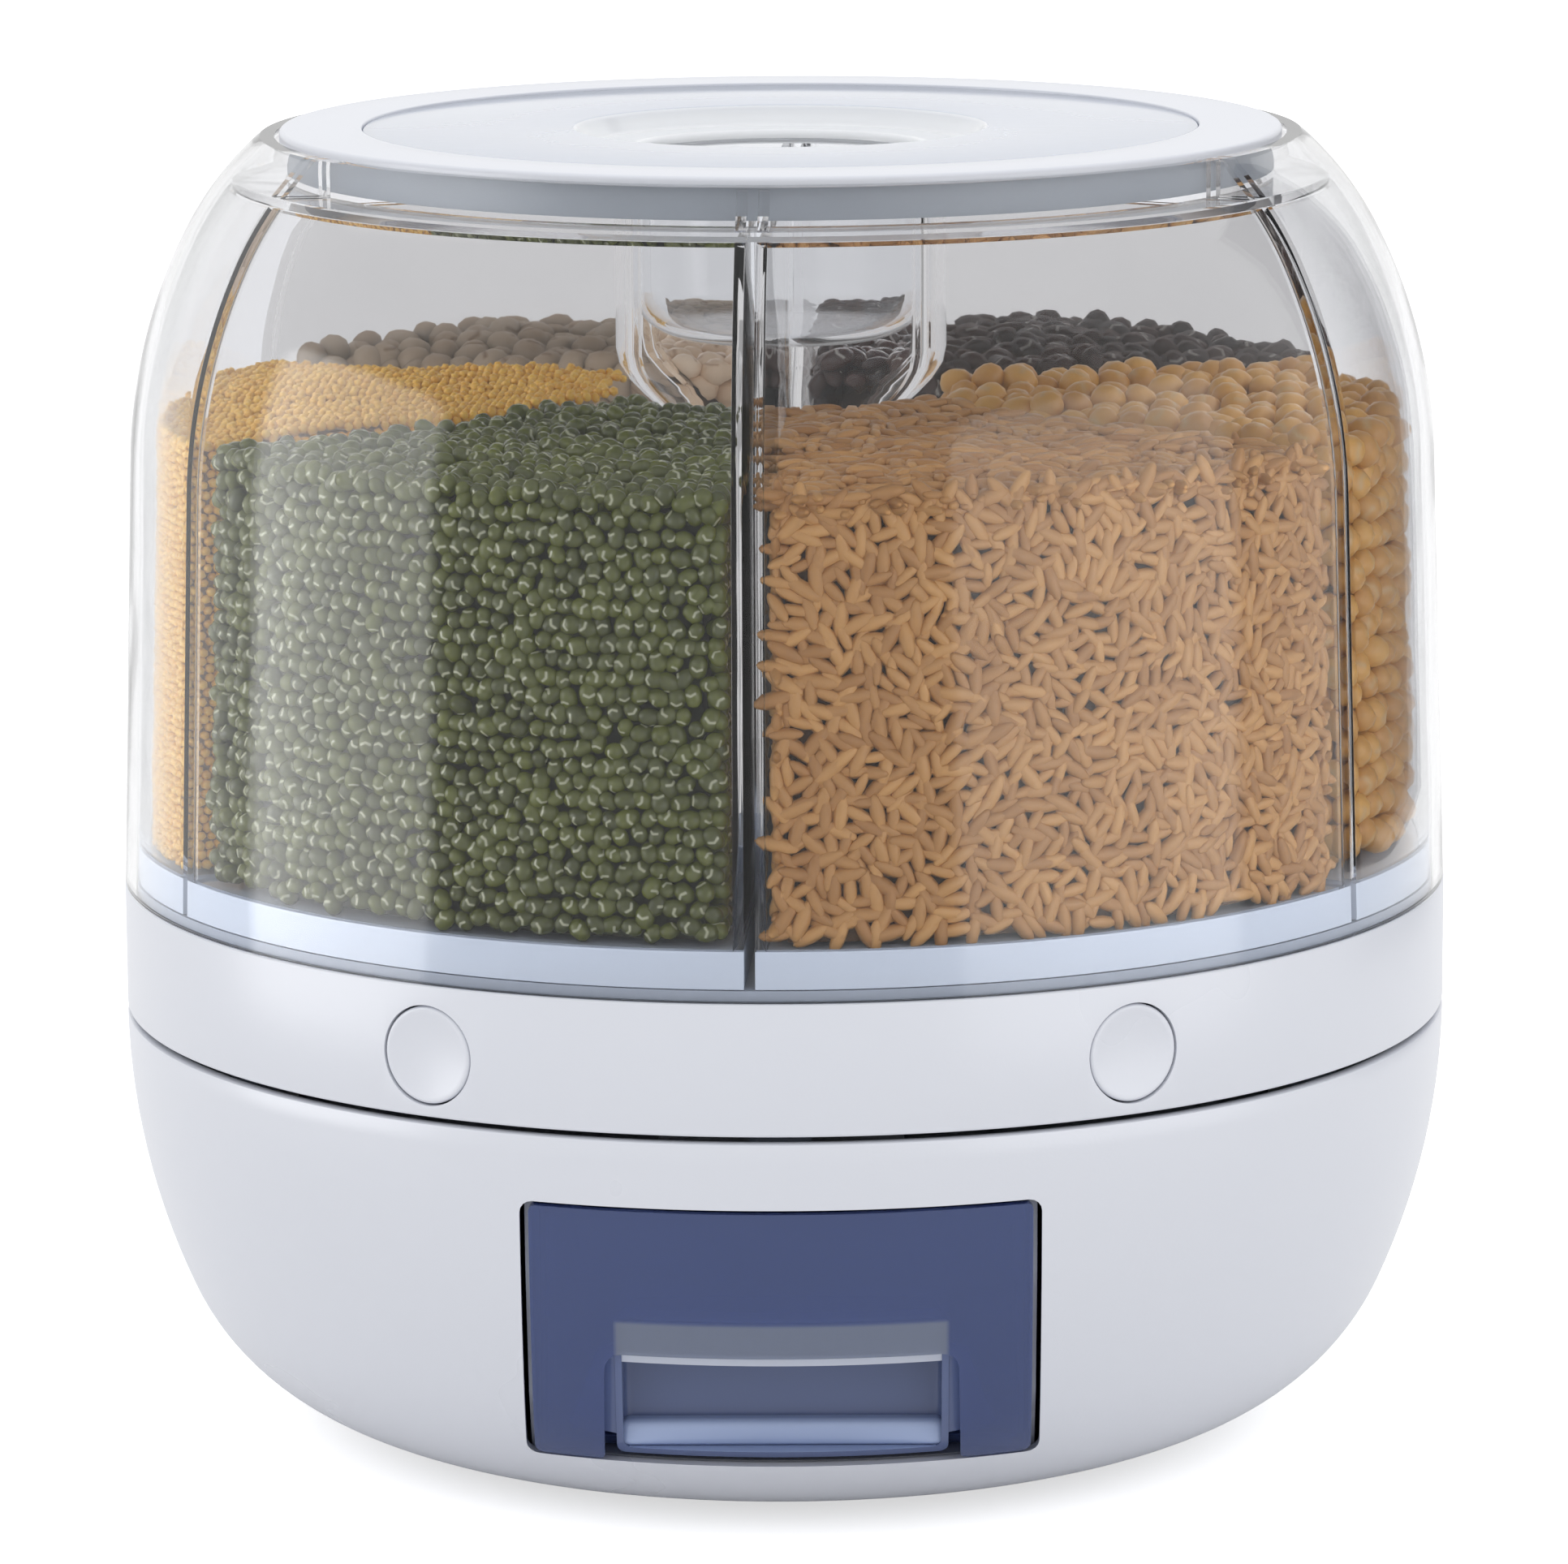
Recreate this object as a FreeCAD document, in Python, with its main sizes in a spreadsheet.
import FreeCAD, Part
import math
import os
import Sketcher
from FreeCAD import Placement, Rotation, Vector

# Rotating food dispenser: a white bowl with a drawer, and a clear barrel of six cells that turns on it.
# Millimetres. The origin is the centre of the resting plane, +Z is up and the drawer opens towards -Y.
# An azimuth is counted from -Y towards +X, so a turn about +Z by that angle brings a front piece there.


# The driving sizes, each written once, as rows of the sheet.

SIZES = (
    ("cell_count", 6, "cells, buttons and shutters round the barrel"),
    ("ring_radius", 160.0, "outer radius of the barrel ring and of the bowl's rim"),
    ("seam_gap", 1.5, "gap between the bowl's rim and the ring"),
    ("ring_height", 30.6, "height of the barrel ring"),
    ("ring_wall", 2.6, "wall of the barrel ring"),
    ("lug_half_width", 8.0, "half the width of the ring's lugs"),
    ("lug_reach", 11.0, "reach of the ring's lugs inside its face"),
    ("lug_thickness", 4.0, "thickness of the ring's lugs"),
    ("foot_gap", 0.8, "height of the bowl's underside above the floor"),
    ("bowl_side_radius", 165.0, "arc of the bowl's upper side"),
    ("bowl_side_angle", 24.0, "turn of that arc, degrees"),
    ("bowl_turn_radius", 56.7, "arc of the bowl's tight turn"),
    ("bowl_turn_angle", 74.7, "slope where the tight turn ends, degrees"),
    ("bowl_foot_arc", 116.0, "arc that runs out to the flat underside"),
    ("bowl_wall", 2.8, "wall of the bowl"),
    ("bowl_rim", 102.5, "top edge of the bowl"),
    ("shelf_half_width", 7.0, "half the width of the bowl's deck shelves"),
    ("shelf_reach", 15.0, "reach of the deck shelves inside the ring's face"),
    ("shelf_depth", 6.0, "straight depth of the deck shelves"),
    ("shelf_drop", 22.0, "depth below the deck where a shelf's slope meets the wall"),
    ("deck_screw_inset", 9.0, "distance of the deck screws inside the ring's face"),
    ("deck_screw_count", 3, "deck shelves and deck screws"),
    ("pad_width", 16.0, "side of a square foot pad"),
    ("pad_sink", 1.2, "depth of a foot pad's seat in the bowl"),
    ("pad_inset", 16.3, "distance of the foot pads inside the flat underside's edge"),
    ("pad_fit", 0.05, "gap round a foot pad in its seat"),
    ("mouth_half_width", 59.0, "half the width of the drawer's mouth in the bowl"),
    ("mouth_bottom", 20.9, "lower edge of the drawer's mouth"),
    ("mouth_drop", 3.0, "depth of the drawer's mouth below the deck"),
    ("mouth_top_round", 2.0, "corner round at the mouth's upper edge"),
    ("mouth_low_round", 4.0, "corner round at the mouth's lower edge"),
    ("deck_drop", 12.5, "depth of the deck's underside below the rim"),
    ("deck_plate", 3.0, "thickness of the deck"),
    ("deck_edge_gap", 0.4, "gap between the deck's edge and the bowl"),
    ("chute_side", 6.0, "side margin of the deck's chute round a spout"),
    ("chute_near", 8.0, "margin of the chute on a spout's hub side"),
    ("chute_far", 6.0, "margin of the chute on a spout's outer side"),
    ("chute_wall", 2.0, "wall of the chute"),
    ("chute_skirt", 3.7, "depth of the chute's skirt below the deck"),
    ("spindle_radius", 8.0, "radius of the deck's spindle"),
    ("spindle_fit", 0.05, "running clearance round the spindle"),
    ("hub_wall", 5.0, "wall of the sluice plate's hub"),
    ("spindle_screw_head", 11.0, "head radius of the spindle screw"),
    ("spindle_screw_depth", 2.0, "head height of the spindle screw"),
    ("spindle_screw_radius", 2.6, "radius of the spindle screw"),
    ("spindle_screw_length", 14.0, "length of the spindle screw under its head"),
    ("screw_radius", 1.9, "radius of the deck screws"),
    ("screw_head", 3.3, "head radius of the deck screws"),
    ("screw_head_depth", 1.6, "head height of the deck screws"),
    ("screw_length", 9.0, "length of the deck screws under the head"),
    ("screw_hole_gap", 0.05, "clearance round a screw in its hole"),
    ("running_gap", 0.3, "gap between pieces that move past each other"),
    ("slide_rise", 14.3, "height of the buttons' axes above the ring's underside"),
    ("shutter_depth", 3.0, "thickness of a shutter"),
    ("shutter_side", 5.0, "side margin of a shutter beside the spout"),
    ("shutter_travel", 13.5, "travel of a button and its shutter"),
    ("shutter_end", 3.5, "bar beyond the shutter's window"),
    ("shutter_tail", 15.0, "plate on the hub side of the spout, up to the spring lug"),
    ("tongue_half_width", 5.0, "half the width of the shutter's tongue"),
    ("tongue_inset", 4.0, "distance of the tongue's end inside the ring's face"),
    ("lug_depth", 3.0, "thickness of the spring lug and post"),
    ("lug_height", 5.4, "height of the spring lug above the shutter"),
    ("sluice_depth", 3.0, "thickness of the sluice plate"),
    ("sluice_inset", 31.5, "distance of the sluice plate's flat sides inside the ring's face"),
    ("outlet_margin", 0.5, "margin of the sluice plate's outlet round the spout"),
    ("leg_half_width", 7.0, "half the width of the sluice plate's legs"),
    ("leg_length", 12.5, "radial length of the legs"),
    ("leg_inset", 13.5, "distance of the legs inside the ring's face"),
    ("glide_depth", 2.7, "thickness of the glide pads under the legs"),
    ("glide_margin", 1.0, "margin of a glide pad inside its leg"),
    ("rail_width", 2.0, "thickness of a shutter rail"),
    ("rail_height", 3.7, "height of a shutter rail"),
    ("rail_gap", 0.4, "side play of a shutter between its rails"),
    ("rail_length", 44.5, "length of a shutter rail"),
    ("spring_room", 31.0, "radial room between the spring post and the shutter's end"),
    ("post_half_width", 5.0, "half the width of a spring post and lug"),
    ("spring_strip", 0.5, "thickness of the leaf spring"),
    ("spring_height", 5.0, "height of the leaf spring's strip"),
    ("spring_bend", 2.0, "inner bend radius of the leaf spring"),
    ("spring_lean", 55.0, "lean of a leaf spring's leg against its seat, degrees"),
    ("spout_half_width", 20.0, "half the width of a spout"),
    ("spout_inset", 52.0, "distance of a spout's inner edge inside the ring's face"),
    ("spout_length", 12.0, "radial length of a spout"),
    ("spout_wall", 2.0, "wall of a spout"),
    ("tub_plate", 2.4, "thickness of the tub plate"),
    ("tub_gap", 0.4, "gap between the dome and what stands in it"),
    ("pillar_radius", 4.5, "radius of the tub plate's pillars"),
    ("pillar_inset", 12.0, "distance of the pillars inside the spouts"),
    ("pillar_count", 3, "pillars under the tub plate"),
    ("button_radius", 11.25, "radius of a button"),
    ("button_gap", 0.3, "gap round a button in the ring"),
    ("button_length", 14.0, "length of a button"),
    ("button_inset", 0.3, "depth of a button's edge behind the ring's face"),
    ("socket_fit", 0.05, "clearance of the tongue in its socket"),
    ("dome_step", 0.1, "step between the ring's face and the dome's foot"),
    ("dome_taper", 1.8, "lean of the dome's side, degrees"),
    ("dome_shoulder", 76.9, "height of the dome's shoulder"),
    ("dome_low_arc", 126.3, "arc of the lower shoulder"),
    ("dome_low_angle", 27.4, "slope where the lower shoulder ends, degrees"),
    ("dome_high_arc", 76.1, "arc of the upper shoulder"),
    ("dome_height", 178.8, "height of the dome"),
    ("dome_wall", 2.5, "wall of the dome"),
    ("cell_turn", -2.4, "turn of the cells against the buttons, degrees"),
    ("cell_gap", 2.5, "gap between neighbouring cells"),
    ("cell_wall", 2.4, "wall of a cell"),
    ("cell_drop", 12.1, "depth of the cells' top edge below the dome's"),
    ("cell_seat", 0.8, "gap between the dome and the cells"),
    ("floor_rise", 11.4, "height of a cell's floor at the wall, above the ring"),
    ("floor_hub_rise", 17.4, "height of a cell's floor at the hub, above the ring"),
    ("cell_mouth_margin", 1.5, "radial margin of a cell's mouth round its spout"),
    ("cell_mouth_side", 5.5, "side margin of a cell's mouth round its spout"),
    ("cell_hub", 19.0, "distance of the cells' hub side from the axis"),
    ("neck_gap", 1.8, "gap between the lid's well and the cells"),
    ("neck_drop", 2.0, "depth of the cells' wide neck below the well"),
    ("neck_rise", 26.0, "height over which the cells' hub side widens to the neck"),
    ("neck_plate", 2.1, "thickness of the neck ring"),
    ("neck_margin", 0.4, "gap between the lid's seal and the neck ring's bore, in plan"),
    ("gusset_inset", 0.6, "distance of the gussets from the neck ring's edges"),
    ("lid_rise", 1.6, "height of the lid above the dome"),
    ("lid_gap", 0.93, "gap round the lid in the dome's mouth"),
    ("lid_depth", 3.2, "thickness of the lid's rim"),
    ("lid_rim_width", 19.7, "width of the lid's rim"),
    ("lid_lip", 2.6, "width of the lip that carries the window"),
    ("lid_lip_depth", 1.0, "thickness of that lip"),
    ("seal_inset", 2.1, "distance of the seal's outside from the lid's edge"),
    ("seal_wall", 4.0, "wall of the lid's seal"),
    ("seal_depth", 7.2, "height of the lid's seal"),
    ("window_fit", 0.2, "gap round the window"),
    ("window_drop", 0.6, "depth of the window's face under the rim's"),
    ("window_wall", 2.0, "wall of the window and its well"),
    ("dish_radius", 49.0, "radius of the dish in the window"),
    ("dish_draft", 4.0, "width of the dish's sloping side"),
    ("dish_depth", 4.6, "depth of the dish"),
    ("well_radius", 36.5, "outer radius of the well under the lid"),
    ("well_depth", 51.0, "depth of the well's underside below the lid's top"),
    ("well_bevel", 9.0, "bevel of the well's bottom corner"),
    ("drawer_side", 3.5, "distance of the drawer's tray from the mouth's sides"),
    ("drawer_drop", 2.3, "gap between the chute's skirt and the drawer's tray"),
    ("drawer_back", 20.0, "distance of the drawer's back behind the centre"),
    ("drawer_wall", 2.0, "wall of the drawer"),
    ("drawer_front_wall", 2.6, "thickness of the drawer's front"),
    ("front_side_gap", 2.0, "gap beside the drawer's front"),
    ("front_top_gap", 1.0, "gap above the drawer's front"),
    ("front_low_gap", 0.6, "gap below the drawer's front"),
    ("notch_half_width", 40.2, "half the width of the finger notch"),
    ("notch_sill", 0.5, "height of the sill under the finger notch"),
    ("notch_height", 28.5, "height of the finger notch"),
    ("notch_round", 3.0, "corner round of the finger notch"),
    ("pocket_side", 2.2, "distance of the finger pocket's sides inside the notch's"),
    ("pocket_inset", 36.0, "distance of the finger pocket's back inside the ring's face"),
    ("pocket_rise", 11.5, "height of the pocket's ceiling above the notch"),
    ("bay_gap", 0.5, "gap between the drawer and its bay"),
    ("bay_wall", 2.0, "wall of the drawer bay"),
    ("rib_inset", 15.5, "distance of the bay's ribs inside the drawer's sides"),
    ("bay_rib_length", 50.0, "half the length of the bay's ribs"),
)

# How many straight steps stand for each round stretch of a turned outline, from the bowl's foot up.

BOWL_OUTSIDE_COUNT = (1, 3, 3)
BOWL_INSIDE_COUNT = (1, 2, 2)
DOME_OUTSIDE_COUNT = (2, 2)
DOME_INSIDE_COUNT = (2, 2)

# How many flat facets make the outer wall of a cell.

CELL_FACET_COUNT = 6


class Size:
    """A number together with the cell expression that gives it, so that a sum of sizes is one too."""

    def __init__(self, value, text):
        self.value = value
        self.text = text

    def __add__(self, other):
        other = as_size(other)
        return Size(self.value + other.value, f"({self.text} + {other.text})")

    def __sub__(self, other):
        other = as_size(other)
        return Size(self.value - other.value, f"({self.text} - {other.text})")

    def __mul__(self, other):
        other = as_size(other)
        return Size(self.value * other.value, f"({self.text} * {other.text})")

    def __truediv__(self, other):
        other = as_size(other)
        return Size(self.value / other.value, f"({self.text} / {other.text})")

    def __neg__(self):
        return Size(-self.value, f"(-1 * {self.text})")


def as_size(value):
    return value if isinstance(value, Size) else Size(float(value), f"{value}")


def sine(angle):
    return Size(math.sin(math.radians(angle.value)), f"sin({angle.text})")


def cosine(angle):
    return Size(math.cos(math.radians(angle.value)), f"cos({angle.text})")


def tangent(angle):
    return Size(math.tan(math.radians(angle.value)), f"tan({angle.text})")


def arc_sine(ratio):
    """The angle, in degrees, whose sine is the ratio."""
    return Size(math.degrees(math.asin(ratio.value)), f"(asin({ratio.text}) / 1deg)")


def root(size):
    return Size(math.sqrt(size.value), f"sqrt({size.text})")


def square(size):
    return size * size


class Sheet:
    """The document's sheet of driving sizes, read back as Size attributes."""

    def __init__(self, doc):
        self.cells = doc.addObject("Spreadsheet::Sheet", "Sizes")
        for row, (name, value, meaning) in enumerate(SIZES, start=1):
            self.cells.set(f"A{row}", f"'{meaning}")
            self.cells.set(f"B{row}", f"{value}")
            self.cells.setAlias(f"B{row}", name)
            setattr(self, name, Size(value, f"Sizes.{name}"))


doc = FreeCAD.newDocument("food_dispenser")
size = Sheet(doc)
doc.recompute()
ZERO = Size(0.0, "0")
FULL_TURN = Size(360.0, "360")
NODES = []


# Sketches. A pen draws a closed outline whose corners are held by cell expressions.


def plane_of(body, role):
    return next(item for item in body.Origin.OriginFeatures if item.Role == role)


def sketch_on(body, name, role, offset=ZERO, shift=ZERO, turn=ZERO):
    """A sketch on one of the body's planes, moved along its normal, up within it and round Z."""
    flat = role == "XY_Plane"
    moves = {
        "Base.x": ZERO if flat else offset * sine(turn),
        "Base.y": shift,
        "Base.z": offset if flat else offset * cosine(turn),
        "Rotation.Angle": turn,
    }
    sketch = body.newObject("Sketcher::SketchObject", name)
    sketch.AttachmentSupport = [(plane_of(body, role), "")]
    sketch.MapMode = "FlatFace"
    base = Vector(*(moves[f"Base.{axis}"].value for axis in "xyz"))
    around = Vector(0, 0, 1) if flat else Vector(0, 1, 0)
    sketch.AttachmentOffset = Placement(base, Rotation(around, turn.value))
    for path, moved in moves.items():
        if moved.value:
            sketch.setExpression(f".AttachmentOffset.{path}", moved.text)
    return sketch


def hold(sketch, kind, *where, size):
    index = sketch.addConstraint(Sketcher.Constraint(kind, *where, size.value))
    sketch.setExpression(f"Constraints[{index}]", size.text)


def pin_point(sketch, edge, end, across, up):
    """Holds one end of an edge at its two coordinates."""
    for kind, axis, where in (("DistanceX", -2, across), ("DistanceY", -1, up)):
        if where.value == 0:
            sketch.addConstraint(Sketcher.Constraint("PointOnObject", edge, end, axis))
        else:
            hold(sketch, kind, -1, 1, edge, end, size=where)


def arc_middle(start, end, radius, side):
    """The point half way round the shorter arc from start to end, bulging to the given side."""
    chord = end - start
    half = chord.Length / 2
    rise = radius - math.sqrt(max(radius * radius - half * half, 0.0))
    normal = Vector(-chord.y, chord.x, 0).normalize()
    return (start + end) * 0.5 + normal * rise * side


def outline(sketch, corners):
    """Draws a closed outline. A corner is (across, up), or (across, up, radius, side) at an arc's end."""
    first = sketch.GeometryCount
    points = [Vector(corner[0].value, corner[1].value, 0) for corner in corners]
    for index, corner in enumerate(corners):
        start = points[index - 1]
        end = points[index]
        if len(corner) == 4:
            middle = arc_middle(start, end, corner[2].value, corner[3])
            edge = Part.Arc(start, middle, end)
        else:
            edge = Part.LineSegment(start, end)
        sketch.addGeometry(edge)
    count = len(corners)
    ends = [end_numbers(sketch, first + index, points[index]) for index in range(count)]
    for index in range(count):
        after = (index + 1) % count
        joined = Sketcher.Constraint(
            "Coincident", first + index, ends[index][1], first + after, ends[after][0]
        )
        sketch.addConstraint(joined)
    for index, corner in enumerate(corners):
        if len(corner) == 4:
            hold(sketch, "Radius", first + index, size=corner[2])
        pin_point(sketch, first + index, ends[index][1], corner[0], corner[1])


def end_numbers(sketch, edge, end):
    """The sketch's numbers for an edge's start and end: an arc that runs clockwise has them swapped."""
    if (sketch.getPoint(edge, 2) - end).Length < (sketch.getPoint(edge, 1) - end).Length:
        return 1, 2
    return 2, 1


def rectangle(sketch, left, low, right, high):
    outline(sketch, [(left, low), (right, low), (right, high), (left, high)])


def circle(sketch, across, up, radius):
    centre = Vector(across.value, up.value, 0)
    index = sketch.addGeometry(Part.Circle(centre, Vector(0, 0, 1), radius.value))
    hold(sketch, "Radius", index, size=radius)
    pin_point(sketch, index, 3, across, up)


# Features of a body.


def make_body(name):
    body = doc.addObject("PartDesign::Body", name)
    body.Label = name
    return body


def drive(thing, property_name, value):
    setattr(thing, property_name, value.value)
    thing.setExpression(property_name, value.text)


def add(body, kind, name, sketch):
    feature = body.newObject(f"PartDesign::{kind}", name)
    feature.Profile = sketch
    sketch.Visibility = False
    return feature


def check_change(body, feature, grows):
    """Stops the build where a feature added or took nothing."""
    doc.recompute()
    before = feature.BaseFeature.Shape.Volume if feature.BaseFeature else 0.0
    after = feature.Shape.Volume
    changed = after > before if grows else after < before
    if not changed or not feature.Shape.isValid():
        raise RuntimeError(f"{body.Label}: {feature.Label} changed {before:.1f} to {after:.1f}")


def spin_solid(body, name, sketch, axis="V_Axis", grows=True):
    """Turns a sketch a full turn round its own axis, as a Revolution or as a Groove."""
    feature = add(body, "Revolution" if grows else "Groove", name, sketch)
    feature.ReferenceAxis = (sketch, [axis])
    drive(feature, "Angle", FULL_TURN)
    check_change(body, feature, grows)
    return feature


def pad(body, name, sketch, length, backwards=False):
    feature = add(body, "Pad", name, sketch)
    drive(feature, "Length", length)
    feature.Reversed = backwards
    check_change(body, feature, True)
    return feature


def pocket(body, name, sketch, length, backwards=False):
    feature = add(body, "Pocket", name, sketch)
    drive(feature, "Length", length)
    feature.Reversed = backwards
    check_change(body, feature, False)
    return feature


def repeat(body, name, features, count, span=FULL_TURN):
    """Repeats features round the upright axis, and makes that the body's last step."""
    pattern = body.newObject("PartDesign::PolarPattern", name)
    pattern.Originals = features
    pattern.Axis = (plane_of(body, "Z_Axis"), [""])
    drive(pattern, "Angle", span)
    pattern.setExpression("Occurrences", count.text)
    pattern.Occurrences = int(count.value)
    body.Tip = pattern
    doc.recompute()
    return pattern


def turn_to(thing, angle):
    """Stands a front piece at its azimuth."""
    thing.Placement = Placement(Vector(), Rotation(Vector(0, 0, 1), angle.value))
    thing.setExpression(".Placement.Rotation.Angle", angle.text)


def keep(thing, name):
    thing.Label = name
    NODES.append((name, thing))
    return thing


# Sizes that several pieces share, from the foot up.

ring_bottom = size.bowl_rim + size.seam_gap
ring_top = ring_bottom + size.ring_height
ring_inner = size.ring_radius - size.ring_wall
deck_bottom = size.bowl_rim - size.deck_drop
deck_top = deck_bottom + size.deck_plate
deck_screw_circle = size.ring_radius - size.deck_screw_inset
mouth_top = deck_bottom - size.mouth_drop
slide_height = ring_bottom + size.slide_rise
shutter_bottom = slide_height - size.shutter_depth / 2
shutter_top = shutter_bottom + size.shutter_depth
shutter_half_width = size.spout_half_width + size.shutter_side
sluice_top = shutter_bottom - size.running_gap
sluice_bottom = sluice_top - size.sluice_depth
sluice_flat = size.ring_radius - size.sluice_inset
leg_bottom = deck_top + size.running_gap + size.glide_depth
leg_outer = size.ring_radius - size.leg_inset
leg_inner = leg_outer - size.leg_length
spout_inner = size.ring_radius - size.spout_inset
spout_outer = spout_inner + size.spout_length
spout_bottom = shutter_top + size.running_gap
chute_half_width = size.spout_half_width + size.chute_side
chute_inner = spout_inner - size.chute_near
chute_outer = spout_outer + size.chute_far
chute_bottom = deck_bottom - size.chute_skirt
tub_top = ring_top + size.tub_plate
rail_inner = shutter_half_width + size.rail_gap
mouth_inner = spout_inner - size.cell_mouth_margin
mouth_outer = spout_outer + size.cell_mouth_margin
mouth_side = size.spout_half_width + size.cell_mouth_side
window_inner = spout_inner + size.shutter_travel
window_outer = spout_outer + size.shutter_travel
lug_radius = spout_inner - size.shutter_tail
post_radius = lug_radius - size.spring_room
tongue_end = size.ring_radius - size.tongue_inset
dome_radius = size.ring_radius - size.dome_step
dome_top = ring_top + size.dome_height
dome_side_top = dome_top - size.dome_shoulder
cell_top = dome_top - size.cell_drop
cell_floor = ring_top + size.floor_rise
cell_floor_hub = ring_top + size.floor_hub_rise
lid_top = dome_top + size.lid_rise
rim_bottom = lid_top - size.lid_depth
window_bottom = rim_bottom + size.lid_lip_depth
well_bottom = lid_top - size.well_depth
drawer_bottom = size.mouth_bottom + size.front_low_gap
drawer_top = chute_bottom - size.drawer_drop
drawer_half_width = size.mouth_half_width - size.drawer_side
front_half_width = size.mouth_half_width - size.front_side_gap
front_top = mouth_top - size.front_top_gap
notch_bottom = drawer_bottom + size.notch_sill
notch_top = notch_bottom + size.notch_height
pocket_half_width = size.notch_half_width - size.pocket_side
pocket_top = notch_top + size.pocket_rise
pocket_back = size.ring_radius - size.pocket_inset
pitch = Size(360.0, "360") / size.cell_count


def azimuth(number):
    """Where a button stands: half a pitch beside the drawer's middle, then one pitch apart."""
    return pitch * (number - 0.5)


def numbers():
    return range(1, int(size.cell_count.value) + 1)


def bend(centre, radius, start, end, steps):
    """Points along an arc, without its first one, at equal angles."""
    points = []
    for step in range(1, steps + 1):
        angle = start + (end - start) * (step / steps)
        points.append((centre[0] + radius * cosine(angle), centre[1] + radius * sine(angle)))
    return points


def on_line(low, high, height):
    """The radius at a height on the straight side between two outline corners."""
    share = (height - low[1]) / (high[1] - low[1])
    return low[0] + (high[0] - low[0]) * share


# The dome's side, shared by the dome and by everything that stands in it.


def dome_centres():
    """The centres of the shoulder's two arcs, each running on from the line or arc below it."""
    lean = (dome_side_top - ring_top) * tangent(size.dome_taper)
    side = dome_radius - lean
    low = (
        side - size.dome_low_arc * cosine(size.dome_taper),
        dome_side_top - size.dome_low_arc * sine(size.dome_taper),
    )
    step = size.dome_low_arc - size.dome_high_arc
    high = (
        low[0] + step * cosine(size.dome_low_angle),
        low[1] + step * sine(size.dome_low_angle),
    )
    return low, high


def dome_side(gap, height):
    """The radius of the leaning side at a height, drawn inwards by a gap."""
    lean = (height - ring_top) * tangent(size.dome_taper)
    return dome_radius - lean - gap / cosine(size.dome_taper)


def dome_corners(gap, low, high, steps):
    """The side from a low height to a high one, as outline corners going up."""
    centres = dome_centres()
    radius = size.dome_high_arc - gap
    end = arc_sine((high - centres[1][1]) / radius)
    first = size.dome_low_arc - gap
    side_top = (
        centres[0][0] + first * cosine(size.dome_taper),
        centres[0][1] + first * sine(size.dome_taper),
    )
    below = bend(centres[0], first, size.dome_taper, size.dome_low_angle, steps[0])
    above = bend(centres[1], radius, size.dome_low_angle, end, steps[1])
    return [(dome_side(gap, low), low), side_top] + below + above


def dome_throat(height):
    """The dome's inner radius at a height near its mouth."""
    corners = dome_corners(size.dome_wall, ring_top, dome_top, DOME_INSIDE_COUNT)
    return on_line(corners[-2], corners[-1], height)


lid_radius = dome_throat(dome_top) - size.lid_gap
seal_radius = lid_radius - size.seal_inset


# The bowl's side, shared by the bowl, the drawer's front and the drawer's bay.


def foot_radius():
    """The radius of the flat underside, from which the three arcs reach out to the ring's radius."""
    foot = (size.bowl_foot_arc - size.bowl_turn_radius) * cosine(size.bowl_turn_angle)
    turn = (size.bowl_turn_radius - size.bowl_side_radius) * cosine(size.bowl_side_angle)
    return size.ring_radius - size.bowl_side_radius - foot - turn


def bowl_centres():
    """The centres of the bowl's three arcs, from the foot up, each running on from the last."""
    foot = (foot_radius(), size.foot_gap + size.bowl_foot_arc)
    step = size.bowl_foot_arc - size.bowl_turn_radius
    turn = (
        foot[0] + step * cosine(size.bowl_turn_angle),
        foot[1] - step * sine(size.bowl_turn_angle),
    )
    step = size.bowl_turn_radius - size.bowl_side_radius
    side = (
        turn[0] + step * cosine(size.bowl_side_angle),
        turn[1] - step * sine(size.bowl_side_angle),
    )
    return foot, turn, side


def bowl_side(gap, height):
    """The radius of the bowl's upper side at a height, drawn inwards by a gap."""
    side = bowl_centres()[2]
    radius = size.bowl_side_radius - gap
    return side[0] + root(square(radius) - square(side[1] - height))


def bowl_corners(gap, high, steps):
    """The side from the foot's edge to a height, as outline corners going up."""
    centres = bowl_centres()
    radii = [arc - gap for arc in (size.bowl_foot_arc, size.bowl_turn_radius, size.bowl_side_radius)]
    rise = arc_sine((high - centres[2][1]) / radii[2])
    angles = (Size(-90.0, "-90"), -size.bowl_turn_angle, -size.bowl_side_angle, rise)
    corners = [(foot_radius(), size.foot_gap + gap)]
    for arc in range(3):
        corners += bend(centres[arc], radii[arc], angles[arc], angles[arc + 1], steps[arc])
    return corners


def bowl_throat(height):
    """The bowl's inner radius at a height near its rim."""
    corners = bowl_corners(size.bowl_wall, size.bowl_rim, BOWL_INSIDE_COUNT)
    return on_line(corners[-2], corners[-1], height)


# Solids made from one outline or one box.


def turned(name, corners):
    """A solid turned from an outline round the upright axis."""
    body = make_body(name)
    section = sketch_on(body, f"{name}_section", "XZ_Plane")
    outline(section, corners)
    spin_solid(body, f"{name}_turn", section)
    return body


def bowl_form(name, gap, steps):
    """A solid of the bowl's shape, drawn inwards by a gap."""
    foot = [(ZERO, size.foot_gap + gap)]
    return turned(name, foot + bowl_corners(gap, size.bowl_rim, steps) + [(ZERO, size.bowl_rim)])


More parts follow.
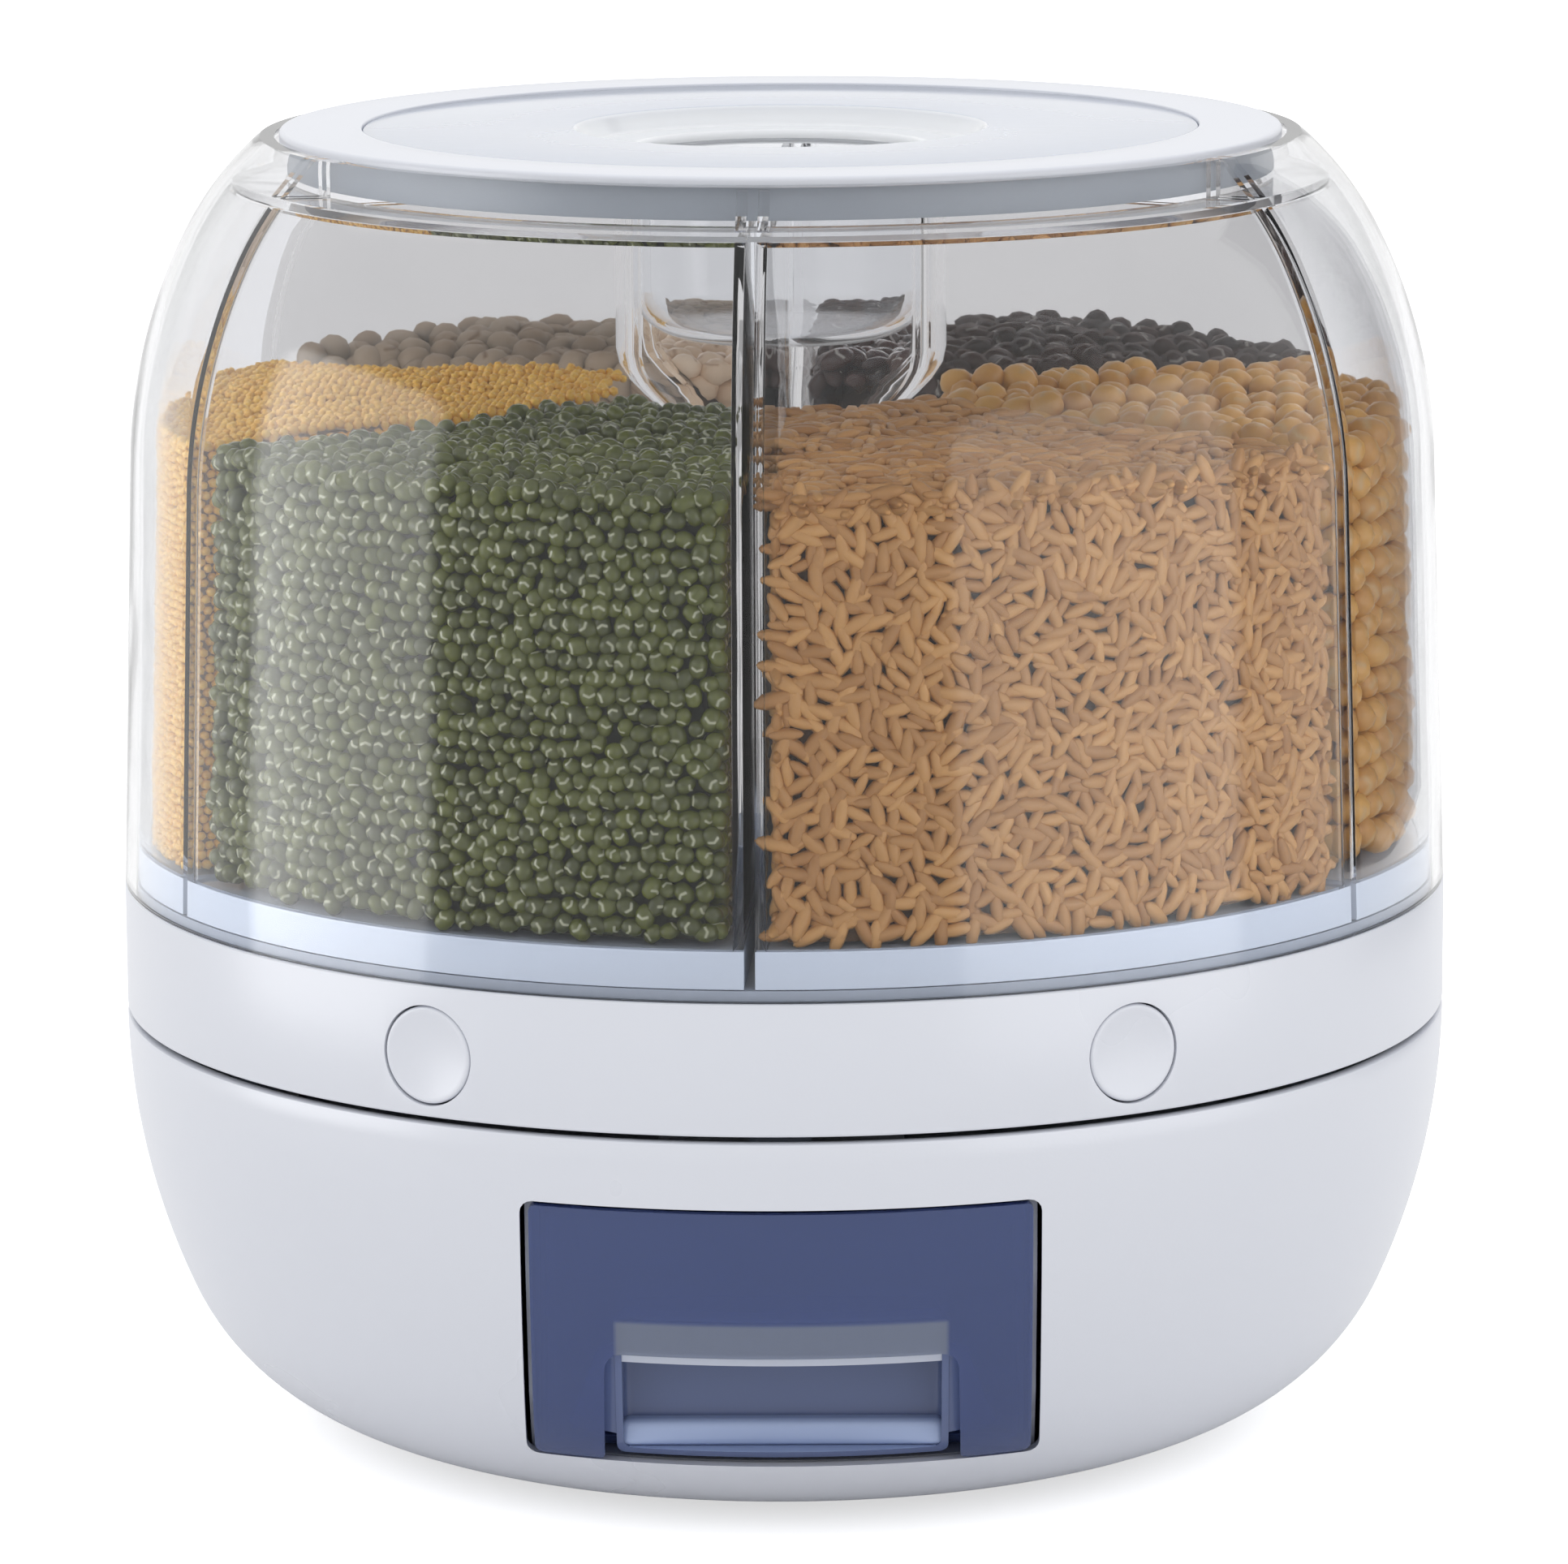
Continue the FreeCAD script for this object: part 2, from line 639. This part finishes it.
def block(name, half, front, back, low, high, middle=ZERO):
    """A box across a middle line, from one distance in front of the centre to one behind it."""
    box = doc.addObject("Part::Box", name)
    drive(box, "Length", half * 2)
    drive(box, "Width", front + back)
    drive(box, "Height", high - low)
    corner = (middle - half, -front, low)
    box.Placement = Placement(Vector(*(value.value for value in corner)), Rotation())
    for axis, value in zip("xyz", corner):
        box.setExpression(f".Placement.Base.{axis}", value.text)
    return box


def boolean(kind, name, base, tool):
    result = doc.addObject(f"Part::{kind}", name)
    result.Base = base
    result.Tool = tool
    doc.recompute()
    return result


def fuse(name, pieces):
    result = doc.addObject("Part::MultiFuse", name)
    result.Shapes = pieces
    doc.recompute()
    return result


# The base: bowl, foot pads, turntable deck with its spindle, drawer bay and screws.


def base_bowl():
    """The turned shell, with shelves for the deck, seats for the pads and the drawer's mouth."""
    body = make_body("base_bowl")
    wall = size.bowl_wall
    floor = size.foot_gap + wall
    section = sketch_on(body, "bowl_section", "XZ_Plane")
    outside = bowl_corners(ZERO, size.bowl_rim, BOWL_OUTSIDE_COUNT)
    inside = bowl_corners(wall, size.bowl_rim, BOWL_INSIDE_COUNT)[::-1]
    outline(section, [(ZERO, size.foot_gap)] + outside + inside + [(ZERO, floor)])
    spin_solid(body, "bowl_turn", section)
    shelves(body)
    seat = sketch_on(body, "pad_seat_plan", "XY_Plane", offset=size.foot_gap)
    half = size.pad_width / 2 + size.pad_fit
    reach = foot_radius() - size.pad_inset
    rectangle(seat, -half, reach - half, half, reach + half)
    sunk = pocket(body, "pad_seat", seat, size.pad_sink, backwards=True)
    repeat(body, "pad_seats", [sunk], Size(4.0, "4"))
    mouth = sketch_on(body, "mouth_face", "XZ_Plane")
    rounded_gate(mouth, size.mouth_half_width, size.mouth_bottom, mouth_top,
                 size.mouth_low_round, size.mouth_top_round)
    pocket(body, "mouth", mouth, size.ring_radius, backwards=True)
    return keep(body, "base_bowl")


def shelves(body):
    """Three bracket shelves on the bowl's wall, each with a hole for a deck screw."""
    middle = size.bowl_wall / 2
    first = FULL_TURN / size.deck_screw_count / 2
    quarter = Size(90.0, "90")
    inner = size.ring_radius - size.shelf_reach
    low = deck_bottom - size.shelf_drop
    face = sketch_on(body, "shelf_face", "XZ_Plane", offset=-size.shelf_half_width,
                     turn=first - quarter)
    outline(face, [
        (bowl_side(middle, low), low),
        (bowl_side(middle, deck_bottom), deck_bottom),
        (inner, deck_bottom),
        (inner, deck_bottom - size.shelf_depth),
    ])
    bracket = pad(body, "shelf", face, size.shelf_half_width * 2)
    hole = sketch_on(body, "shelf_hole_plan", "XY_Plane", offset=deck_bottom, turn=first)
    circle(hole, ZERO, -deck_screw_circle, size.screw_radius + size.screw_hole_gap)
    bore = pocket(body, "shelf_hole", hole, size.screw_length - size.deck_plate + size.running_gap)
    repeat(body, "deck_shelves", [bracket, bore], size.deck_screw_count)


def rounded_gate(sketch, half, low, high, low_round, high_round):
    """An upright rectangle with its own corner rounds above and below."""
    outline(sketch, [
        (-half + low_round, low, low_round, -1),
        (half - low_round, low),
        (half, low + low_round, low_round, -1),
        (half, high - high_round),
        (half - high_round, high, high_round, -1),
        (-half + high_round, high),
        (-half, high - high_round, high_round, -1),
        (-half, low + low_round),
    ])


def foot_pads():
    """Four square pads, stuck in their seats under the bowl."""
    body = make_body("foot_pads")
    body.AllowCompound = True
    half = size.pad_width / 2
    reach = foot_radius() - size.pad_inset
    plan = sketch_on(body, "pad_plan", "XY_Plane")
    for across, up in ((1, 0), (0, 1), (-1, 0), (0, -1)):
        middle = (reach * across, reach * up)
        rectangle(plan, middle[0] - half, middle[1] - half, middle[0] + half, middle[1] + half)
    pad(body, "pads", plan, size.foot_gap + size.pad_sink)
    return keep(body, "foot_pads")


def turntable_deck():
    """The plate that closes the bowl, with the spindle, and the chute over the drawer."""
    edge = bowl_throat(deck_bottom) - size.deck_edge_gap
    body = turned("turntable_deck", [
        (ZERO, deck_bottom),
        (edge, deck_bottom),
        (edge, deck_top),
        (size.spindle_radius, deck_top),
        (size.spindle_radius, sluice_top + size.running_gap),
        (ZERO, sluice_top + size.running_gap),
    ])
    half = chute_half_width
    wall = size.chute_wall
    top = sluice_bottom - size.running_gap
    walls = sketch_on(body, "chute_plan", "XY_Plane", offset=chute_bottom)
    rectangle(walls, -half - wall, -chute_outer - wall, half + wall, -chute_inner + wall)
    pad(body, "chute", walls, top - chute_bottom)
    space = sketch_on(body, "chute_space_plan", "XY_Plane", offset=chute_bottom)
    rectangle(space, -half, -chute_outer, half, -chute_inner)
    pocket(body, "chute_space", space, top - chute_bottom, backwards=True)
    pilot = sketch_on(body, "pilot_plan", "XY_Plane", offset=sluice_top + size.running_gap)
    circle(pilot, ZERO, ZERO, size.spindle_screw_radius + size.screw_hole_gap)
    pocket(body, "pilot", pilot, size.spindle_screw_length + size.running_gap)
    hole = sketch_on(body, "deck_hole_plan", "XY_Plane", offset=deck_top,
                     turn=FULL_TURN / size.deck_screw_count / 2)
    circle(hole, ZERO, -deck_screw_circle, size.screw_radius + size.screw_hole_gap)
    bore = pocket(body, "deck_hole", hole, size.deck_plate)
    repeat(body, "deck_holes", [bore], size.deck_screw_count)
    return keep(body, "turntable_deck")


def drawer_bay():
    """The open channel that the drawer runs in, on two ribs, with its front cut to the bowl."""
    half = drawer_half_width + size.bay_gap
    wall = size.bay_wall
    floor_top = drawer_bottom - size.bay_gap
    floor = floor_top - wall
    back = size.drawer_back + size.bay_gap
    outside = block("bay_outside", half + wall, size.ring_radius, back + wall, floor, deck_bottom)
    inside = block("bay_inside", half, size.ring_radius, back, floor_top, ring_top)
    channel = boolean("Cut", "bay_channel", outside, inside)
    limit = bowl_form("bay_limit", size.bowl_wall + size.running_gap, BOWL_INSIDE_COUNT)
    pieces = [boolean("Common", "bay_trimmed", channel, limit)]
    rib = drawer_half_width - size.rib_inset
    for side in (1, -1):
        pieces.append(block(f"bay_rib_{2 - side}", wall / 2, size.bay_rib_length, size.bay_rib_length,
                            size.foot_gap + size.bowl_wall, floor, middle=rib * side))
    return keep(fuse("drawer_bay", pieces), "drawer_bay")


def screw(name, head, depth, shank, length, seat, reach=ZERO, turn=ZERO):
    """A pan-head screw, head up, on its seat height at a reach from the axis."""
    body = make_body(name)
    plan = sketch_on(body, f"{name}_shank_plan", "XY_Plane", offset=seat - length, turn=turn)
    circle(plan, ZERO, -reach, shank)
    first = pad(body, f"{name}_shank", plan, length)
    top = sketch_on(body, f"{name}_head_plan", "XY_Plane", offset=seat, turn=turn)
    circle(top, ZERO, -reach, head)
    second = pad(body, f"{name}_head", top, depth)
    return body, [first, second]


def spindle_screw():
    """The wide-headed screw that keeps the barrel on the spindle."""
    body = screw("spindle_screw", size.spindle_screw_head, size.spindle_screw_depth,
                 size.spindle_screw_radius, size.spindle_screw_length,
                 sluice_top + size.running_gap)[0]
    return keep(body, "spindle_screw")


def deck_screws():
    body, features = screw("deck_screws", size.screw_head, size.screw_head_depth,
                           size.screw_radius, size.screw_length, deck_top,
                           deck_screw_circle, FULL_TURN / size.deck_screw_count / 2)
    body.AllowCompound = True
    repeat(body, "deck_screw_circle", features, size.deck_screw_count)
    return keep(body, "deck_screws")


# The barrel: ring, sluice plate, tub plate, six cells, dome and neck ring.


def barrel_ring():
    """The white ring with a hole for each button, hung by six lugs on the sluice plate's arms."""
    body = turned("barrel_ring", [
        (ring_inner, ring_bottom),
        (size.ring_radius, ring_bottom),
        (size.ring_radius, ring_top),
        (ring_inner, ring_top),
    ])
    half = size.lug_half_width
    lug = sketch_on(body, "lug_plan", "XY_Plane", offset=sluice_top)
    rectangle(lug, -half, -ring_inner - size.ring_wall / 2, half, size.lug_reach - size.ring_radius)
    shape = pad(body, "lug", lug, size.lug_thickness)
    hole = sketch_on(body, "button_hole_face", "XZ_Plane", turn=pitch / 2)
    circle(hole, ZERO, slide_height, size.button_radius + size.button_gap)
    bore = pocket(body, "button_hole", hole, size.ring_radius + size.ring_wall, backwards=True)
    repeat(body, "ring_sixths", [shape, bore], size.cell_count)
    return keep(body, "barrel_ring")


def sluice_plate():
    """The six-sided plate that the shutters slide on, with its hub, legs, rails and posts."""
    body = make_body("sluice_plate")
    corner = sluice_flat / cosine(pitch / 2)
    plan = sketch_on(body, "plate_plan", "XY_Plane", offset=sluice_bottom)
    outline(plan, [
        (corner * sine(pitch * number), -corner * cosine(pitch * number)) for number in numbers()
    ])
    pad(body, "plate", plan, size.sluice_depth)
    hub = sketch_on(body, "hub_plan", "XY_Plane", offset=leg_bottom)
    circle(hub, ZERO, ZERO, size.spindle_radius + size.spindle_fit + size.hub_wall)
    pad(body, "hub", hub, sluice_bottom - leg_bottom)
    bore = sketch_on(body, "bore_plan", "XY_Plane", offset=sluice_top)
    circle(bore, ZERO, ZERO, size.spindle_radius + size.spindle_fit)
    pocket(body, "bore", bore, sluice_top - leg_bottom)
    sixth = arm_and_leg(body) + outlet_and_rails(body)
    repeat(body, "plate_sixths", sixth, size.cell_count)
    return keep(body, "sluice_plate")


def arm_and_leg(body):
    """The arm that carries the ring's lug, and the leg that stands on the deck."""
    half = size.leg_half_width
    arm = sketch_on(body, "arm_plan", "XY_Plane", offset=sluice_bottom)
    rectangle(arm, -half, -ring_inner + size.running_gap, half, -leg_inner)
    leg = sketch_on(body, "leg_plan", "XY_Plane", offset=leg_bottom)
    rectangle(leg, -half, -leg_outer, half, -leg_inner)
    return [
        pad(body, "arm", arm, size.sluice_depth),
        pad(body, "leg", leg, sluice_bottom - leg_bottom),
    ]


def outlet_and_rails(body):
    """The outlet under a spout, the rails beside its shutter and the post behind its spring."""
    margin = size.outlet_margin
    side = size.spout_half_width + margin
    outlet = sketch_on(body, "outlet_plan", "XY_Plane", offset=sluice_top, turn=pitch / 2)
    rectangle(outlet, -side, -spout_outer - margin, side, -spout_inner + margin)
    cut = pocket(body, "outlet", outlet, size.sluice_depth)
    rails = sketch_on(body, "rail_plan", "XY_Plane", offset=sluice_top, turn=pitch / 2)
    for low, high in ((rail_inner, rail_inner + size.rail_width),
                      (-rail_inner - size.rail_width, -rail_inner)):
        rectangle(rails, low, -sluice_flat, high, -sluice_flat + size.rail_length)
    guides = pad(body, "rails", rails, size.rail_height)
    post = sketch_on(body, "post_plan", "XY_Plane", offset=sluice_top, turn=pitch / 2)
    half = size.post_half_width
    rectangle(post, -half, -post_radius - size.lug_depth, half, -post_radius)
    stop = pad(body, "post", post, size.lug_height + size.shutter_depth + size.running_gap)
    return [cut, guides, stop]


def glide_pads():
    """Six low-friction pads, pressed under the sluice plate's legs, that run on the deck."""
    body = make_body("glide_pads")
    body.AllowCompound = True
    margin = size.glide_margin
    half = size.leg_half_width - margin
    plan = sketch_on(body, "glide_plan", "XY_Plane", offset=deck_top + size.running_gap)
    rectangle(plan, -half, -leg_outer + margin, half, -leg_inner - margin)
    single = pad(body, "glide", plan, size.glide_depth)
    repeat(body, "glides", [single], size.cell_count)
    return keep(body, "glide_pads")


def tub_plate():
    """The plate under the cells: six spouts down to the shutters, three pillars on the sluice plate."""
    body = turned("tub_plate", [
        (ZERO, ring_top),
        (dome_side(size.dome_wall + size.tub_gap, tub_top), ring_top),
        (dome_side(size.dome_wall + size.tub_gap, tub_top), tub_top),
        (ZERO, tub_top),
    ])
    half = size.spout_half_width
    wall = size.spout_wall
    outer = sketch_on(body, "spout_plan", "XY_Plane", offset=spout_bottom, turn=pitch / 2)
    rectangle(outer, -half - wall, -spout_outer - wall, half + wall, -spout_inner + wall)
    spout = pad(body, "spout", outer, ring_top - spout_bottom)
    inner = sketch_on(body, "throat_plan", "XY_Plane", offset=tub_top, turn=pitch / 2)
    rectangle(inner, -half, -spout_outer, half, -spout_inner)
    throat = pocket(body, "throat", inner, tub_top - spout_bottom)
    repeat(body, "spouts", [spout, throat], size.cell_count)
    foot = sketch_on(body, "pillar_plan", "XY_Plane", offset=sluice_top)
    circle(foot, ZERO, size.pillar_inset - spout_inner, size.pillar_radius)
    pillar = pad(body, "pillar", foot, ring_top - sluice_top)
    repeat(body, "pillars", [pillar], size.pillar_count)
    return keep(body, "tub_plate")


def outer_dome():
    """The clear shell: a leaning side, a shoulder of two arcs and an open mouth for the lid."""
    outside = dome_corners(ZERO, ring_top, dome_top, DOME_OUTSIDE_COUNT)
    inside = dome_corners(size.dome_wall, ring_top, dome_top, DOME_INSIDE_COUNT)
    return keep(turned("outer_dome", outside + inside[::-1]), "outer_dome")


def shave(body, name, corners, turn=ZERO):
    """Cuts a prism right across a body; its outline is a side view, at a turn from the front."""
    face = sketch_on(body, f"{name}_face", "YZ_Plane", offset=-size.ring_radius, turn=turn)
    outline(face, corners)
    return pocket(body, name, face, size.ring_radius * 2, backwards=True)


def wedge(name, near, gap, low, top):
    """A sixth in plan, from a flat hub side out past the dome, whose sides stand a gap back."""
    body = make_body(name)
    half = pitch / 2
    far = size.ring_radius
    near_side = near * tangent(half) - gap / cosine(half)
    far_side = far * tangent(half) - gap / cosine(half)
    plan = sketch_on(body, f"{name}_plan", "XY_Plane", offset=low)
    outline(plan, [(-far_side, -far), (far_side, -far), (near_side, -near), (-near_side, -near)])
    pad(body, f"{name}_pad", plan, top - low)
    return body


def sixth(name, inset, top):
    """A cell's form drawn inwards by an inset: floor, neck and outer wall are shaved off a wedge."""
    drop = size.cell_wall - inset
    low = tub_top + inset
    near = size.cell_hub + inset
    neck = size.well_radius + size.neck_gap + inset
    neck_high = well_bottom - size.neck_drop
    body = wedge(name, near, size.cell_gap / 2 + inset, low, top)
    shave(body, f"{name}_floor", [
        (ZERO, cell_floor_hub - drop),
        (-mouth_inner + drop, low),
        (-mouth_outer - drop, low),
        (-size.ring_radius, cell_floor - drop),
        (-size.ring_radius, ring_top),
        (ZERO, ring_top),
    ])
    shave(body, f"{name}_neck", [
        (ZERO, neck_high - size.neck_rise),
        (-near, neck_high - size.neck_rise),
        (-neck, neck_high),
        (-neck, dome_top),
        (ZERO, dome_top),
    ])
    facet = pitch / CELL_FACET_COUNT
    sink = dome_radius - dome_radius * cosine(facet / 2)
    side = dome_corners(size.dome_wall + size.cell_seat + sink + inset, low, dome_top, DOME_INSIDE_COUNT)
    beyond = -size.ring_radius / cosine(pitch / 2)
    corners = [(-radius, height) for radius, height in side] + [(beyond, dome_top), (beyond, low)]
    wall = shave(body, f"{name}_wall", corners, turn=(facet - pitch) / 2)
    repeat(body, f"{name}_facets", [wall], as_size(CELL_FACET_COUNT), span=pitch - facet)
    return body


def cell_space():
    """A cell's inside, open above, and its mouth over the spout."""
    room = sixth("cell_room", size.cell_wall, dome_top)
    mouth = block("cell_mouth", mouth_side, mouth_outer, -mouth_inner, ring_top, cell_floor)
    return fuse("cell_space", [room, mouth])


def cells():
    """Six bins of one form, each turned to its place."""
    form = sixth("cell_form", ZERO, cell_top)
    space = cell_space()
    for number in numbers():
        cell = boolean("Cut", f"cell_{number}", form, space)
        turn_to(cell, azimuth(number) + size.cell_turn)
        keep(cell, f"cell_{number}")


def neck_ring():
    """The ring that spaces the cells under the lid, with a pair of gussets over each gap."""
    low = cell_top
    high = low + size.neck_plate
    bore = seal_radius + size.neck_margin
    edge = dome_throat(high) - size.tub_gap
    body = turned("neck_ring", [
        (bore, low),
        (edge, low),
        (edge, high),
        (bore, high),
    ])
    inner = bore + size.gusset_inset
    outer = edge - size.gusset_inset
    top = rim_bottom - size.running_gap
    gussets = []
    for side in (1, -1):
        face = sketch_on(body, f"gusset_face_{2 - side}", "YZ_Plane",
                         offset=size.cell_gap / 2 * side, turn=size.cell_turn)
        outline(face, [
            (-outer, high),
            (-inner, high),
            (-inner, top),
            (size.tub_gap - dome_throat(top), top),
        ])
        gussets.append(pad(body, f"gusset_{2 - side}", face, size.cell_wall, backwards=side < 0))
    repeat(body, "gussets", gussets, size.cell_count)
    return keep(body, "neck_ring")


def return_spring(number):
    """A leaf spring bent like a hairpin, between the plate's post and the shutter's lug."""
    name = f"return_spring_{number}"
    body = make_body(name)
    near = post_radius + size.lug_depth + size.running_gap
    far = lug_radius - size.running_gap
    plan = sketch_on(body, f"{name}_plan", "XY_Plane", offset=sluice_top + size.running_gap * 2)
    hairpin(plan, near, far)
    pad(body, f"{name}_strip", plan, size.spring_height)
    turn_to(body, azimuth(number))
    return keep(body, name)


def hairpin(sketch, near, far):
    """Two straight legs that lean out from near and far and meet in a small bend."""
    lean = size.spring_lean
    strip = size.spring_strip
    middle = -(near + far) / 2
    outer = size.spring_bend + strip
    centre = size.post_half_width
    tip = (far - near) / 2
    drop = {}
    for side, radius in (("out", outer), ("in", size.spring_bend)):
        touch = (centre + radius * cosine(lean), radius * sine(lean))
        fall = (tip - radius * sine(lean)) / cosine(lean)
        drop[side] = (touch, fall * sine(lean))
    (out_touch, out_run), (in_touch, in_run) = drop["out"], drop["in"]
    outline(sketch, [
        (out_touch[0] - out_run, middle - tip),
        (out_touch[0], middle - out_touch[1]),
        (out_touch[0], middle + out_touch[1], outer, -1),
        (out_touch[0] - out_run, middle + tip),
        (in_touch[0] - in_run, middle + tip),
        (in_touch[0], middle + in_touch[1]),
        (in_touch[0], middle - in_touch[1], size.spring_bend, 1),
        (in_touch[0] - in_run, middle - tip),
    ])


# The six gates: a button in the ring and the shutter that its tongue pushes inwards.


def button(number):
    """A round button with a socket in its back for the shutter's tongue."""
    name = f"button_{number}"
    body = make_body(name)
    face = size.ring_radius - size.button_inset
    back = sketch_on(body, f"{name}_back", "XZ_Plane", offset=face - size.button_length)
    circle(back, ZERO, slide_height, size.button_radius)
    pad(body, f"{name}_cap", back, size.button_length)
    fit = size.socket_fit
    half = size.tongue_half_width + fit
    rise = size.shutter_depth / 2 + fit
    socket = sketch_on(body, f"{name}_socket_face", "XZ_Plane", shift=slide_height)
    rectangle(socket, -half, -rise, half, rise)
    pocket(body, f"{name}_socket", socket, tongue_end + fit, backwards=True)
    turn_to(body, azimuth(number))
    return keep(body, name)


def shutter(number):
    """A sliding plate with a window beyond the spout, a tongue and a lug for its spring."""
    name = f"shutter_{number}"
    body = make_body(name)
    half = shutter_half_width
    tongue = size.tongue_half_width
    outer = window_outer + size.shutter_end
    plan = sketch_on(body, f"{name}_plan", "XY_Plane", offset=shutter_bottom)
    outline(plan, [
        (-half, -outer),
        (-tongue, -outer),
        (-tongue, -tongue_end),
        (tongue, -tongue_end),
        (tongue, -outer),
        (half, -outer),
        (half, -lug_radius),
        (-half, -lug_radius),
    ])
    rectangle(plan, -size.spout_half_width, -window_outer, size.spout_half_width, -window_inner)
    pad(body, f"{name}_plate", plan, size.shutter_depth)
    lug = sketch_on(body, f"{name}_lug_plan", "XY_Plane", offset=shutter_top)
    width = size.post_half_width
    rectangle(lug, -width, -lug_radius - size.lug_depth, width, -lug_radius)
    pad(body, f"{name}_lug", lug, size.lug_height)
    turn_to(body, azimuth(number))
    return keep(body, name)


# The drawer: a tray behind a front that follows the bowl, with a finger notch and pocket.


def drawer_tray():
    wall = size.drawer_wall
    reach = size.ring_radius
    outer_form = bowl_form("front_outside", ZERO, BOWL_OUTSIDE_COUNT)
    inner_form = bowl_form("front_inside", size.drawer_front_wall, BOWL_OUTSIDE_COUNT)
    tray = block("tray_outside", drawer_half_width, reach, size.drawer_back,
                 drawer_bottom, drawer_top)
    panel = block("panel_outside", front_half_width, reach, -pocket_back * cosine(Size(45.0, "45")),
                  drawer_bottom, front_top)
    room = block("tray_inside", drawer_half_width - wall, reach, size.drawer_back - wall,
                 drawer_bottom + wall, lid_top)
    hollow = boolean("Common", "tray_room", room, inner_form)
    tub = boolean("Cut", "tray_tub", boolean("Common", "tray_form", tray, outer_form), hollow)
    front = boolean("Cut", "front_panel", boolean("Common", "panel_form", panel, outer_form), inner_form)
    shell = boolean("Common", "pocket_form",
                    block("pocket_outside", size.notch_half_width + wall, reach, -pocket_back + wall,
                          drawer_bottom, pocket_top + wall), outer_form)
    whole = fuse("tray_whole", [tub, front, shell])
    pocket_room = boolean("Common", "pocket_room",
                          block("pocket_inside", pocket_half_width, reach, -pocket_back,
                                drawer_bottom + wall, pocket_top), inner_form)
    opened = boolean("Cut", "tray_pocket", whole, pocket_room)
    notch = boolean("Cut", "notch_room", notch_gate(), inner_form)
    return keep(boolean("Cut", "drawer_tray", opened, notch), "drawer_tray")


def notch_gate():
    """The finger notch's outline, carried forward out of the drawer."""
    body = make_body("notch_gate")
    face = sketch_on(body, "notch_face", "XZ_Plane", offset=pocket_back)
    rounded_gate(face, size.notch_half_width, notch_bottom, notch_top,
                 size.notch_round, size.notch_round)
    pad(body, "notch_pad", face, size.ring_radius - pocket_back)
    return body


# The lid: a white rim, a clear window with a dish and a well, and the seal under the rim.


def lid_rim():
    inner = lid_radius - size.lid_rim_width
    lip = inner - size.lid_lip
    body = turned("lid_rim", [
        (lip, rim_bottom),
        (lid_radius, rim_bottom),
        (lid_radius, lid_top),
        (inner, lid_top),
        (inner, window_bottom),
        (lip, window_bottom),
    ])
    return keep(body, "lid_rim")


def lid_window():
    """One clear moulding: a disc on the rim's lip, a dish, and a well that reaches into the hub."""
    wall = size.window_wall
    top = lid_top - size.window_drop
    edge = lid_radius - size.lid_rim_width - size.window_fit
    floor = size.dish_radius - size.dish_draft
    well = size.well_radius
    bevel = size.well_bevel
    low = well_bottom
    inner_bevel = bevel - wall * tangent(Size(22.5, "22.5"))
    body = turned("lid_window", [
        (ZERO, low),
        (well - bevel, low),
        (well, low + bevel),
        (well, top - size.dish_depth - wall),
        (floor, top - size.dish_depth - wall),
        (size.dish_radius, window_bottom),
        (edge, window_bottom),
        (edge, top),
        (size.dish_radius, top),
        (floor, top - size.dish_depth),
        (well - wall, top - size.dish_depth),
        (well - wall, low + wall + inner_bevel),
        (well - wall - inner_bevel, low + wall),
        (ZERO, low + wall),
    ])
    return keep(body, "lid_window")


def lid_seal():
    """The silicone ring that plugs the dome's mouth."""
    inner = seal_radius - size.seal_wall
    low = rim_bottom - size.seal_depth
    body = turned("lid_seal", [
        (inner, low),
        (seal_radius, low),
        (seal_radius, rim_bottom),
        (inner, rim_bottom),
    ])
    return keep(body, "lid_seal")


base_bowl()
foot_pads()
turntable_deck()
drawer_bay()
spindle_screw()
deck_screws()
barrel_ring()
sluice_plate()
glide_pads()
tub_plate()
outer_dome()
cells()
neck_ring()
for count in numbers():
    return_spring(count)
    button(count)
    shutter(count)
drawer_tray()
lid_rim()
lid_window()
lid_seal()
doc.recompute()

failed = [item.Name for item in doc.Objects if "Invalid" in item.State or "Error" in item.State]
if failed:
    raise RuntimeError(f"objects that failed: {failed}")
for name, thing in NODES:
    if thing.Shape.isNull() or not thing.Shape.isValid() or not thing.Shape.Solids:
        raise RuntimeError(f"{name} has no valid solid")

os.makedirs("parts", exist_ok=True)
for name, thing in NODES:
    thing.Shape.exportStep(f"parts/{name}.step")
    print(f"{name}: {len(thing.Shape.Solids)} solid, {thing.Shape.Volume / 1000:.1f} cm3")
